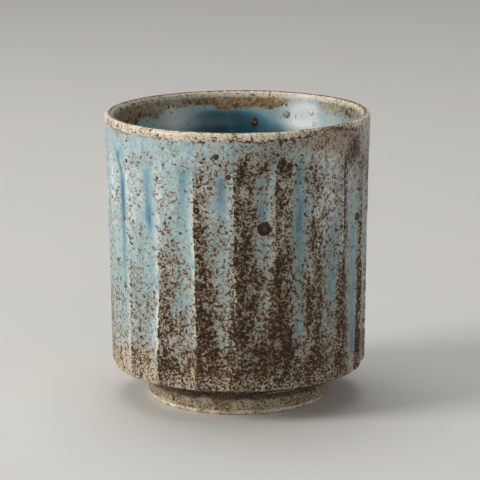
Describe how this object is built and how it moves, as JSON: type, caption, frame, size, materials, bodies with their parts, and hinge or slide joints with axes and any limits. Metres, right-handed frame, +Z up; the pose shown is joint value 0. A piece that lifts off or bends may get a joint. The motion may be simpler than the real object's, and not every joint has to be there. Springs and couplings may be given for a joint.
{
  "type": "tea cup",
  "caption": "Straight-sided stoneware tea cup with carved upright flutes, a thin rounded lip and a turned foot ring, glazed inside and out.",
  "frame": {"origin": "middle of the foot's resting face, on the cup's axis", "axes": "+Z up the cup's axis towards the lip; -Y is the side that the picture shows; the flutes run round evenly, so X has no meaning of its own"},
  "size_m": [0.08, 0.08, 0.0872],
  "materials": {
    "clay": "matte",
    "foot_clay": "matte",
    "outer_glaze": "satin",
    "inner_glaze": "gloss",
    "rim_glaze": "satin",
    "foot_glaze": "satin",
    "base_glaze": "satin",
    "seam_glaze": "gloss",
    "iron": "gloss"
  },
  "bodies": {
    "root": {"clay_body": "clay", "foot_ring": "foot_clay", "outer_glaze": "outer_glaze", "inner_glaze": "inner_glaze", "rim_glaze": "rim_glaze", "foot_glaze": "foot_glaze", "base_glaze": "base_glaze", "seam_glaze": "seam_glaze", "outer_iron_spots": "iron", "inner_iron_spots": "iron"}
  },
  "joints": []
}
